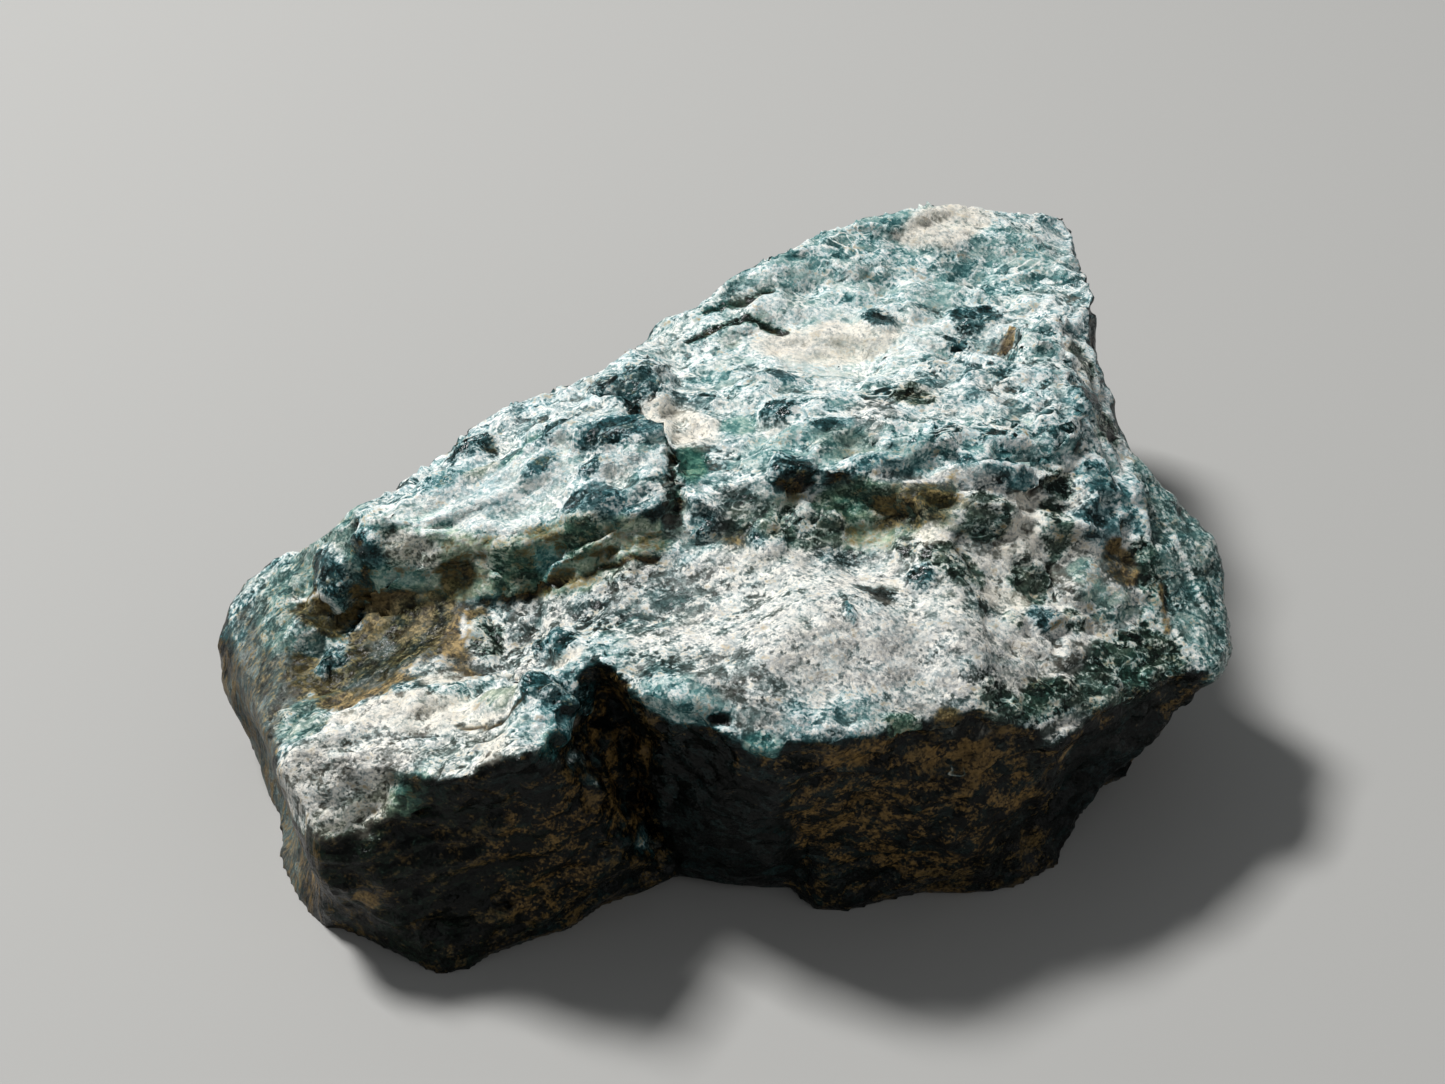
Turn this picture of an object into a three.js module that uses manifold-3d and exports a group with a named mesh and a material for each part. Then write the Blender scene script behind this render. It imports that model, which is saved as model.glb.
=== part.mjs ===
// A rough grandidierite crystal: one cleavage-bound chunk of blue-green stone, lying on its flat underside.
// Millimetres, +Z up. +X runs along the stone from its low left nose to its pointed right tip, and -Y is its
// steep front. It is put together as it broke: convex blocks that share cleavage steps are joined, bites
// that fell out are cut away, and the surface is then split into small faces that are moved out of line.
import * as THREE from "three";
import Module from "manifold-3d";
import { ConvexGeometry } from "three/addons/geometries/ConvexGeometry.js";
import { TessellateModifier } from "three/addons/modifiers/TessellateModifier.js";
import { ImprovedNoise } from "three/addons/math/ImprovedNoise.js";
import { mergeVertices } from "three/addons/utils/BufferGeometryUtils.js";

const wasm = await Module();
wasm.setup();

// Driving dimensions.
const LONGEST_EDGE = 1.1; // no face of the finished stone is longer than this
const SHORTEST_EDGE = 0.13; // and hardly any edge is shorter
const SPLITS = 12; // rounds of halving, enough for the longest face
const BALL = { around: 14, down: 10 }; // facets of a bowl that broke out
const LUMP = { height: 0.45, span: 3.4, seed: 7.3 }; // broad unevenness of every broken face
const CHIP = { height: 0.16, span: 1.5, seed: 31.7 }; // small chips over it
const SAME = 1e-4; // corners this close are one and the same
const GROUNDED = 0.8; // below this height the unevenness fades, so that the underside lies flat

// Each block is the convex hull of its corners, [x, y, z]. Corners with z of 0 are its feet on the ground. A
// corner below a neighbour's top sinks one block into the next, so that the two meet in a clear crease.
const BLOCKS = {
  // Front left: a tilted ledge that dips to a low nose.
  left_lobe: [
    [-10.5, -8.3, 5.2], [-9.4, -10.8, 3.9], [-6.4, -11.5, 6.2], [-4.7, -11.2, 6.6], [-4.0, -10.5, 6.8],
    [-3.4, -9.5, 6.9], [-4.6, -8.2, 6.5], [-6.3, -7.6, 6.0], [-9.4, -7.5, 5.4], [-9.5, -6.6, 4.2],
    [-4.6, -6.6, 4.2],
    [-9.9, -10.5, 0], [-7.1, -11.3, 0], [-4.0, -10.2, 0], [-2.4, -9.2, 0], [-1.6, -8.6, 0],
    [-11.4, -7.4, 0], [-2.0, -6.6, 0],
  ],
  // The left end, almost upright under a bevel. Its top is the floor of the brown hollow.
  left_end: [
    [-13.2, -3.4, 3.6], [-12.5, -2.5, 4.6], [-11.1, -2.4, 5.9], [-10.9, -4.6, 5.7], [-10.7, -8.0, 5.1],
    [-9.0, -9.0, 4.2], [-5.0, -7.4, 4.7], [-5.0, -4.5, 5.0],
    [-13.0, -3.4, 0], [-12.0, -1.2, 0], [-11.5, -7.2, 0], [-9.0, -9.0, 0], [-5.0, -8.4, 0],
    [-5.0, 0.6, 0],
  ],
  // A knob above the left end, with a steep front.
  knob: [
    [-11.1, -2.6, 6.0], [-9.6, -2.5, 7.2], [-8.4, -3.4, 8.0], [-7.1, -4.0, 7.9], [-6.4, -4.7, 7.4],
    [-8.3, -1.8, 7.7], [-10.9, -4.7, 5.3], [-9.7, -5.3, 4.8], [-8.1, -5.6, 4.7], [-6.2, -5.8, 4.7],
    [-9.5, -0.9, 3.0], [-6.4, 0.2, 3.0],
  ],
  // The middle block, with a tall riser in front.
  middle_left: [
    [-8.1, -2.7, 8.0], [-6.9, -1.1, 8.3], [-4.2, 0.6, 8.8], [-2.6, 0.8, 9.0], [-1.5, -1.8, 9.4],
    [-1.1, -2.6, 9.3], [-1.1, -4.5, 8.8], [-2.9, -4.2, 8.6], [-4.0, -4.8, 8.3], [-5.7, -4.8, 8.0],
    [-6.9, -4.3, 7.8], [-6.3, -5.7, 5.2], [-4.4, -5.4, 5.8], [-1.3, -5.1, 7.0],
    [-8.6, 0.2, 0], [-4.6, 3.0, 0], [-1.1, 2.0, 0], [-6.0, -5.2, 0], [-1.3, -5.0, 0],
  ],
  // A slope under the knob, from the foot of its steep front down into the hollow.
  hollow_slope: [
    [-9.9, -4.4, 5.8], [-8.4, -3.8, 6.4], [-6.4, -4.2, 6.9], [-5.5, -5.5, 6.2], [-5.9, -7.2, 5.9],
    [-7.6, -7.4, 5.5], [-9.2, -6.9, 5.2], [-10.2, -5.6, 5.3], [-9.9, -4.2, 4.0], [-5.5, -4.2, 4.0],
    [-5.8, -7.0, 4.0], [-9.4, -6.8, 4.0],
  ],
  // The saddle between the middle block, the hollow and the notch.
  saddle: [
    [-5.9, -5.6, 6.1], [-4.4, -4.8, 6.9], [-3.0, -4.6, 7.5], [-2.4, -8.4, 7.4], [-3.1, -9.1, 6.8],
    [-5.0, -8.3, 6.0], [-0.6, -4.8, 7.1], [-1.4, -7.4, 6.3], [-6.7, -6.2, 4.6], [-5.6, -8.4, 4.6],
    [-6.0, -5.4, 0], [-1.0, -4.8, 0], [-2.6, -7.9, 0], [-4.6, -8.4, 0],
  ],
  // The front slope, from the notch to the right lobe.
  front_slope: [
    [-2.4, -8.4, 7.4], [-1.8, -9.4, 6.8], [-0.6, -10.1, 6.7], [1.2, -10.9, 6.5], [2.7, -10.2, 7.1],
    [5.6, -9.5, 6.9], [-2.4, -4.9, 7.9], [0.7, -3.6, 8.3], [5.6, -3.2, 8.5], [7.8, -4.2, 6.9],
    [8.0, -8.3, 5.4],
    [-1.6, -8.2, 0], [0.2, -8.9, 0], [1.6, -9.2, 0], [5.6, -8.4, 0], [8.0, -7.0, 0], [-2.4, -3.4, 0],
    [7.8, -3.0, 0],
  ],
  // The right lobe bulges under the rim, which leaves the face beside it in a recess.
  right_lobe: [
    [1.6, -10.3, 6.1], [2.8, -10.1, 6.4], [5.6, -9.5, 6.5], [8.3, -8.4, 5.2], [3.2, -7.0, 5.6],
    [2.6, -9.8, 0], [4.2, -9.6, 0], [8.2, -7.8, 0], [1.5, -8.0, 0], [8.0, -6.0, 0],
  ],
  // The right end, which runs out to an overhanging tip.
  right_tip: [
    [8.3, -8.3, 5.9], [11.6, -6.4, 4.8], [12.5, -4.8, 4.8], [12.4, -3.4, 5.6], [11.9, -2.1, 6.5],
    [10.9, -0.5, 7.5], [9.8, -1.4, 8.0], [8.0, -2.6, 8.3], [6.4, -3.4, 8.3], [4.8, -5.0, 6.9],
    [4.8, -8.6, 5.7], [12.4, -3.4, 2.6],
    [8.0, -7.7, 0], [9.8, -5.4, 0], [10.9, -2.6, 0], [10.6, 1.6, 0], [5.0, -2.0, 0], [5.0, -8.0, 0],
  ],
  // Behind the front slope: the middle ridge, up to its crest.
  middle_right: [
    [-1.3, -3.4, 8.6], [0.7, -3.8, 8.8], [2.1, -3.9, 9.0], [4.5, -3.7, 9.1], [6.9, -3.1, 8.9],
    [8.9, -2.1, 8.5], [10.6, -0.8, 7.7], [-1.3, 0.9, 8.9], [1.0, 0.3, 9.5], [2.4, -0.4, 9.7],
    [4.6, -0.5, 9.7], [6.2, 0.2, 9.4], [8.9, 0.5, 8.7], [10.1, 2.4, 7.8], [-2.0, 2.6, 7.6],
    [3.0, 3.2, 7.9], [8.4, 3.4, 7.4],
    [-1.3, -3.9, 0], [4.5, -4.2, 0], [8.9, -2.4, 0], [10.6, -0.8, 0], [10.4, 2.6, 0], [-2.0, 3.0, 0],
  ],
  // The apron of the ridge, which slopes down to the front.
  apron: [
    [-1.4, -3.0, 8.8], [2.0, -3.4, 9.0], [4.5, -3.3, 9.1], [6.8, -2.8, 8.9], [-1.4, -4.9, 7.9],
    [1.0, -5.3, 7.9], [4.0, -5.4, 7.9], [6.8, -4.6, 7.9], [-1.4, -3.0, 3.5], [6.8, -2.8, 6.0],
    [6.8, -4.6, 6.0], [-1.4, -4.9, 3.5],
  ],
  // A narrow rib that stands on the middle ridge.
  rib: [
    [4.0, -2.7, 9.5], [6.2, -2.4, 9.6], [8.2, -1.8, 9.2], [9.3, -1.2, 8.7], [8.6, -0.9, 8.9],
    [6.0, -1.5, 9.6], [4.2, -1.9, 9.6], [3.8, -3.0, 7.0], [9.4, -1.4, 7.0], [8.6, -0.5, 7.0],
    [4.2, -1.3, 7.0],
  ],
  // The back slab, up to the far corner.
  back: [
    [-4.2, 0.6, 8.8], [-2.2, 2.9, 8.9], [-0.6, 4.6, 9.1], [1.6, 6.0, 9.2], [3.8, 7.3, 9.1],
    [5.8, 8.8, 8.8], [7.9, 9.6, 8.4], [9.6, 10.0, 7.8], [9.8, 6.0, 8.1], [10.1, 2.4, 8.0],
    [8.7, -0.4, 7.7], [0.5, -0.8, 8.3], [-2.5, -0.8, 8.2],
    [-4.9, 2.8, 0], [-1.0, 6.2, 0], [5.0, 9.8, 0], [8.7, 10.9, 0], [10.6, 8.6, 0], [10.9, 9.4, 3.0],
    [10.4, 2.4, 0], [-3.0, 0.0, 0],
  ],
  // Blocks that stand a little proud of the cleavage faces around them.
  back_spur: [
    [-3.6, 0.6, 9.1], [-2.4, 1.7, 9.4], [-1.0, 1.3, 9.5], [-1.5, 0.1, 9.5], [-3.0, 0.0, 9.3],
    [-4.0, 0.3, 8.0], [-2.5, 2.4, 8.0], [-0.4, 1.4, 8.0], [-1.4, -0.6, 8.0],
  ],
  right_spur: [
    [8.3, 2.2, 8.9], [9.4, 1.9, 8.7], [9.7, 3.6, 8.5], [8.7, 4.0, 8.7], [7.7, 1.9, 7.6], [10.0, 1.4, 7.4],
    [10.0, 4.1, 7.4], [8.2, 4.7, 7.6],
  ],
};

// What broke out of the blocks. A bowl is an ellipsoid: centre, half sizes, and its turn about Z in degrees.
const BOWLS = {
  ridge_scoop: { at: [3.6, -4.9, 9.7], half: [2.7, 1.7, 1.9], turn: 4 },
  black_pit: { at: [-9.4, -4.9, 6.1], half: [0.55, 0.5, 0.9], turn: 20 },
};

const asSolid = (geometry) => {
  const bare = geometry.clone();
  bare.deleteAttribute("normal");
  bare.deleteAttribute("uv");
  const closed = mergeVertices(bare, SAME);
  return new wasm.Manifold(new wasm.Mesh({
    numProp: 3,
    vertProperties: closed.getAttribute("position").array,
    triVerts: new Uint32Array(closed.index.array),
  }));
};

const asGeometry = (solid) => {
  const { vertProperties, triVerts } = solid.getMesh();
  const geometry = new THREE.BufferGeometry();
  geometry.setAttribute("position", new THREE.BufferAttribute(vertProperties, 3));
  geometry.setIndex(new THREE.BufferAttribute(triVerts, 1));
  return geometry;
};

const block = (corners) => asSolid(new ConvexGeometry(corners.map((c) => new THREE.Vector3(...c))));

const bowl = ({ at, half, turn }) => {
  const ball = new THREE.SphereGeometry(1, BALL.around, BALL.down);
  ball.scale(...half);
  ball.rotateZ(THREE.MathUtils.degToRad(turn));
  ball.translate(...at);
  return asSolid(ball);
};

const noise = new ImprovedNoise();
const CHANNELS = [0, 17.1, 41.7]; // how far apart the noise of the three axes is read

// A vector of smooth noise. It carries each corner along with its neighbours, so that nothing tears.
function drift(p, { height, span, seed }) {
  const at = (shift) => noise.noise(p.x / span + seed + shift, p.y / span + seed, p.z / span);
  return new THREE.Vector3(...CHANNELS.map(at)).multiplyScalar(2 * height);
}

// Corners closer than the shortest edge become one. Faces that vanish or fold flat are dropped.
function weld(geometry) {
  const welded = mergeVertices(geometry, SHORTEST_EDGE);
  const corners = welded.index.array;
  const kept = new Map();
  for (let i = 0; i < corners.length; i += 3) {
    const face = [...corners.slice(i, i + 3)];
    if (new Set(face).size < 3) continue;
    const key = face.toSorted((a, b) => a - b).join();
    if (!kept.delete(key)) kept.set(key, face);
  }
  return welded.setIndex([...kept.values()].flat());
}

// Splits the long faces, then moves every corner. The resting face stays flat on the ground.
function weather(geometry) {
  const split = new TessellateModifier(LONGEST_EDGE, SPLITS).modify(weld(geometry).toNonIndexed());
  const stone = weld(split);
  const place = stone.getAttribute("position");
  const p = new THREE.Vector3();
  for (let i = 0; i < place.count; i++) {
    p.fromBufferAttribute(place, i);
    const lifted = THREE.MathUtils.smoothstep(p.z, 0, GROUNDED);
    const move = drift(p, LUMP).add(drift(p, CHIP));
    move.z *= lifted;
    p.add(move);
    place.setXYZ(i, p.x, p.y, p.z);
  }
  return stone;
}

let solid = wasm.Manifold.union(Object.values(BLOCKS).map(block));
for (const gone of Object.values(BOWLS)) solid = solid.subtract(bowl(gone));

const stone = weather(asGeometry(solid));

// The origin is the bottom centre of the stone's box.
stone.computeBoundingBox();
const centre = stone.boundingBox.getCenter(new THREE.Vector3());
stone.translate(-centre.x, -centre.y, -stone.boundingBox.min.z);

const crystal = new THREE.Mesh(
  stone,
  new THREE.MeshStandardMaterial({ color: 0x2f5f66, roughness: 0.55, metalness: 0, flatShading: true }),
);
crystal.name = "grandidierite_crystal";

const part = new THREE.Group();
part.add(crystal);

export default part;
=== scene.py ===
# %% [markdown]
# # A rough grandidierite crystal
#
# The real thing is one chunk of blue-green mineral, broken out of its rock. Where it broke fresh it is
# glassy and deep teal. Where it was rubbed or weathered it is frosted white, powder lies in its dips, and
# iron has stained its shaded hollows ochre. This lesson starts from the CAD solid, which has the right size
# and the main steps, and gives it the fine broken surface and the finish. Sizes are in millimetres until
# the mesh is handed over.

# %% The frame
import math
from functools import partial

import bpy
import numpy as np
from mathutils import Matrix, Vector


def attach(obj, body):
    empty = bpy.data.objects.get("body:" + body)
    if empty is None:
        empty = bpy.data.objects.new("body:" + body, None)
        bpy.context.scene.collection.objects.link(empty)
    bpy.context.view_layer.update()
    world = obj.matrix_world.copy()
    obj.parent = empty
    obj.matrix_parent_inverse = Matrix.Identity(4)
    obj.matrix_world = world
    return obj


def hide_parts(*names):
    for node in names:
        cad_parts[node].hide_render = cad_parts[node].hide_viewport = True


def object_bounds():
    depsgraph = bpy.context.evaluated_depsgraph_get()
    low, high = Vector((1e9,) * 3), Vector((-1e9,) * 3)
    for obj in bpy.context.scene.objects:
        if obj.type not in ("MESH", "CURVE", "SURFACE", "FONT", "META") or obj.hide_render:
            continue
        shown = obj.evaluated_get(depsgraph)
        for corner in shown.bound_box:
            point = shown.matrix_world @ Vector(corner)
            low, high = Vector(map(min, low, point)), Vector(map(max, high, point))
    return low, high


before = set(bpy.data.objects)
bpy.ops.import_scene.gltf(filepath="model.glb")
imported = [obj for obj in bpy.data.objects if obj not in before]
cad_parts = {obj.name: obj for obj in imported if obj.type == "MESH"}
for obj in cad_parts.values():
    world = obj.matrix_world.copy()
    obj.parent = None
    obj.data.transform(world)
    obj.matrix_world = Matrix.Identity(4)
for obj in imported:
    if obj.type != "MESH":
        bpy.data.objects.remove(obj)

MM = 0.001
cad_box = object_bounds()
print("CAD box, mm:", [[round(v / MM, 2) for v in corner] for corner in cad_box])

# %% [markdown]
# ## The camera
#
# The stone is looked down on from its steep front. From far off it would look flat, so the lens and the
# distance are set together: from 72 mm away the near side looms a little, as it does close up.

# %% The camera
AIM = (0.1, 0.27, 4.0)
DISTANCE = 72.0
ELEVATION = 40.0
FIELD_OF_VIEW = 30.0
NEAREST_SEEN = 5.0

camera = bpy.data.objects.new("camera", bpy.data.cameras.new("camera"))
bpy.context.scene.collection.objects.link(camera)
camera.data.sensor_fit = "HORIZONTAL"
camera.data.angle = math.radians(FIELD_OF_VIEW)
camera.data.clip_start = NEAREST_SEEN * MM
back_off = Vector((0, -math.cos(math.radians(ELEVATION)), math.sin(math.radians(ELEVATION))))
camera.location = (Vector(AIM) + DISTANCE * back_off) * MM
camera.rotation_euler = back_off.to_track_quat("Z", "Y").to_euler()
bpy.context.scene.camera = camera
print("camera at", [round(v / MM, 1) for v in camera.location], "mm")

# %% [markdown]
# ## Noise for points
#
# Broken stone is uneven at every scale. Smooth noise gives the rolling part of that. Cells give the rest:
# seeds are scattered in space and each point belongs to its nearest seed, as grains and cleavage chips do.
# Both are written with numpy here, because they move a hundred thousand points and are the same every run.

# %% Smooth noise
LOW_32_BITS = np.uint64(0xFFFFFFFF)
LOW_24_BITS = np.uint64(0xFFFFFF)
AXIS_PRIMES = (73856093, 19349663, 83492791)
SEED_PRIME = 2654435761
STIRS = ((15, 0x2C1B3C6D), (12, 0x297A2D39))


def scatter(cell, seed):
    """A repeatable random number from 0 to 1 for each whole-number cell, by an integer hash."""
    n = np.uint64(seed * SEED_PRIME)
    for axis, prime in enumerate(AXIS_PRIMES):
        n = n ^ (cell[:, axis].astype(np.uint64) & LOW_32_BITS) * np.uint64(prime)
    for shift, factor in STIRS:
        n = (n ^ (n >> np.uint64(shift))) * np.uint64(factor) & LOW_32_BITS
    return ((n ^ (n >> np.uint64(STIRS[0][0]))) & LOW_24_BITS).astype(float) / float(LOW_24_BITS)


def ease(x, low=0.0, high=1.0):
    """0 at low, 1 at high, and smooth between. Low may be the larger, which turns it round."""
    t = np.clip((x - low) / (high - low), 0, 1)
    return t * t * (3 - 2 * t)


def smooth_noise(p, seed):
    """Noise from -1 to 1 whose lumps are about one unit wide."""
    base = np.floor(p)
    f = p - base
    f = f * f * (3 - 2 * f)
    total = np.zeros(len(p))
    for corner in np.ndindex(2, 2, 2):
        weight = np.prod(np.where(corner, f, 1 - f), axis=1)
        total += weight * scatter((base + corner).astype(np.int64), seed)
    return 2 * total - 1


LAYER_SHIFT = 7.7
ROLLING_RANGE = 1.6


def rolling(p, seed, octaves=4):
    """Smooth noise with finer and fainter layers of itself on top, from about -1 to 1."""
    layers = (smooth_noise(p * 2**k + LAYER_SHIFT * k, seed + k) / 2**k for k in range(octaves))
    return sum(layers) / ROLLING_RANGE


# %% Cells
def cells(p, seed):
    """Which cell owns each point, as a row of whole numbers, and how far in from its border the point is."""
    base = np.floor(p).astype(np.int64)
    nearest = np.full(len(p), np.inf)
    second = nearest.copy()
    owner = np.zeros_like(base)
    for step in np.ndindex(3, 3, 3):
        cell = base + np.array(step) - 1
        middle = cell + np.stack([scatter(cell, seed + axis) for axis in range(3)], axis=1)
        distance = np.linalg.norm(p - middle, axis=1)
        closer = distance < nearest
        second = np.where(closer, nearest, np.minimum(second, distance))
        nearest = np.where(closer, distance, nearest)
        owner[closer] = cell[closer]
    return owner, second - nearest


def turned(p, degrees, size):
    """Points seen from a frame turned about Z, with lengths along its axes divided by size."""
    c = math.cos(math.radians(degrees))
    s = math.sin(math.radians(degrees))
    return np.stack([c * p[:, 0] + s * p[:, 1], c * p[:, 1] - s * p[:, 0], p[:, 2]], axis=1) / np.array(size)


# %% [markdown]
# ## A fine skin over the CAD solid
#
# The solid's faces are about a millimetre long, too coarse for chips and grains. A voxel remesh wraps it in
# an even skin of small squares. That keeps the steps between the blocks, and a few rounds of smoothing then
# take away the flat little faces. The smoothing holds back where the skin bends sharply, so that ledges
# stay crisp.

# %% The skin
SKIN = 0.135
CREASE = 0.015
SMOOTHING = 0.5
SMOOTHING_ROUNDS = 10
UNDERSIDE = 0.5 * SKIN  # points lower than this keep their height, so that the stone stays flat below

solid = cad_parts["grandidierite_crystal"]
rough = bpy.data.objects.new("skin", solid.data.copy())
bpy.context.scene.collection.objects.link(rough)
rough.data.transform(solid.matrix_world)
points = np.empty(len(rough.data.vertices) * 3)
rough.data.vertices.foreach_get("co", points)
rough.data.vertices.foreach_set("co", points / MM)
remesh = rough.modifiers.new("Remesh", "REMESH")
remesh.mode = "VOXEL"
remesh.voxel_size = SKIN
skin = bpy.data.meshes.new_from_object(rough.evaluated_get(bpy.context.evaluated_depsgraph_get()))
bpy.data.objects.remove(rough)


def read(mesh):
    """The points and normals of a mesh, as rows of x, y, z."""
    co = np.empty(len(mesh.vertices) * 3)
    normal = co.copy()
    mesh.vertices.foreach_get("co", co)
    mesh.vertex_normals.foreach_get("vector", normal)
    return co.reshape(-1, 3), normal.reshape(-1, 3)


def place(mesh, rows):
    """Moves a mesh's points."""
    mesh.vertices.foreach_set("co", rows.ravel())
    mesh.update()


edges = np.empty(len(skin.edges) * 2, dtype=int)
skin.edges.foreach_get("vertices", edges)
edges = edges.reshape(-1, 2)
neighbours = np.bincount(edges.ravel(), minlength=len(skin.vertices))


def around(values):
    """The mean of each point's neighbours, for one number a point or for rows."""
    rows = values.reshape(len(neighbours), -1).T
    sums = [np.bincount(edges[:, 0], v[edges[:, 1]], len(neighbours))
            + np.bincount(edges[:, 1], v[edges[:, 0]], len(neighbours)) for v in rows]
    return (np.array(sums) / neighbours).T.reshape(values.shape)


for _ in range(SMOOTHING_ROUNDS):
    points, normals = read(skin)
    pull = around(points) - points
    bend = np.abs((pull * normals).sum(axis=1))
    pull *= SMOOTHING / (1 + (bend / CREASE)[:, None] ** 2)
    pull[points[:, 2] < UNDERSIDE, 2] = 0
    place(skin, points + pull)
print("skin:", len(skin.vertices), "points,", len(skin.polygons), "faces")

# %% [markdown]
# ## Soft patches and seams
#
# Relief and finish change from place to place: a white slope, a stained hollow, a glassy rim. A patch is an
# ellipsoid with a ragged, soft border, given by its middle, its half sizes and its turn about Z. A seam is
# a narrow band along a broken line.

# %% Patches and seams
RAGGED = 0.2
HEIGHT_SHARE = 0.33
points, normals = read(skin)
ragged = RAGGED * rolling(points * 0.9, 11) + RAGGED * rolling(points * 3.1, 15)


def patch(at, half, turn=0.0, soft=0.3):
    """1 inside the ellipsoid and 0 outside, with a border as ragged as a stain's."""
    reach = np.linalg.norm(turned(points - np.array(at), turn, half), axis=1)
    return ease(reach + ragged, 1 + soft / 2, 1 - soft / 2)


def seam(width, *route):
    """1 along the route and 0 beyond the width to either side. Height counts for less, so it can wander."""
    nearest = np.full(len(points), np.inf)
    flat = np.array([1, 1, HEIGHT_SHARE])
    for start, end in zip(route, route[1:]):
        start = np.array(start)
        run = (np.array(end) - start) * flat
        to = (points - start) * flat
        along = np.clip(to @ run / (run @ run), 0, 1)
        nearest = np.minimum(nearest, np.linalg.norm(to - along[:, None] * run, axis=1))
    return ease(nearest + 0.5 * width * ragged, width, 0.3 * width)


x, y, z = points.T
end_face = ease(normals[:, 0], -0.35, -0.65) * ease(x, -7.5, -9.0) * ease(z, 7.2, 6.0)
slope = patch((2.0, -7.0, 7.6), (5.2, 3.0, 3.0)) * ease(normals[:, 2], 0.2, 0.5)
rim = patch((11.7, -3.0, 5.8), (1.1, 4.6, 3.4), 22)
crest_left = patch((-4.6, -2.3, 8.6), (4.6, 2.2, 1.8), 25)
recess = patch((0.3, -9.3, 2.8), (1.9, 1.6, 3.6))
dell = patch((-7.6, -6.1, 5.7), (2.4, 1.6, 1.2), 12)
speckled = np.maximum.reduce([
    patch((7.8, -5.2, 7.2), (4.0, 2.6, 2.0)), patch((-1.4, -6.6, 7.3), (3.6, 2.4, 1.2), -20),
    patch((-7.2, -10.2, 5.6), (3.4, 1.2, 1.6), -8), 0.7 * dell])
knob_slope = patch((-10.6, -3.0, 5.6), (2.6, 2.2, 2.4), 10)
print("end face:", int((end_face > 0.5).sum()), "points, rim:", int((rim > 0.5).sum()))

# %% Blunt the thin wedges
BLUNTING = 0.6
BLUNTING_ROUNDS = 14
blunt = np.maximum.reduce([
    patch((2.4, -9.6, 0.4), (0.8, 0.8, 1.8)), patch((-3.0, -8.3, 6.7), (0.7, 0.7, 0.7)),
    patch((4.9, -6.8, 7.5), (0.8, 2.0, 0.8))])
for _ in range(BLUNTING_ROUNDS):
    pull = BLUNTING * blunt[:, None] * (around(points) - points)
    pull[points[:, 2] < UNDERSIDE, 2] = 0
    points = points + pull
place(skin, points)
points, normals = read(skin)
print("blunted:", int((blunt > 0.5).sum()), "points")
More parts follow.
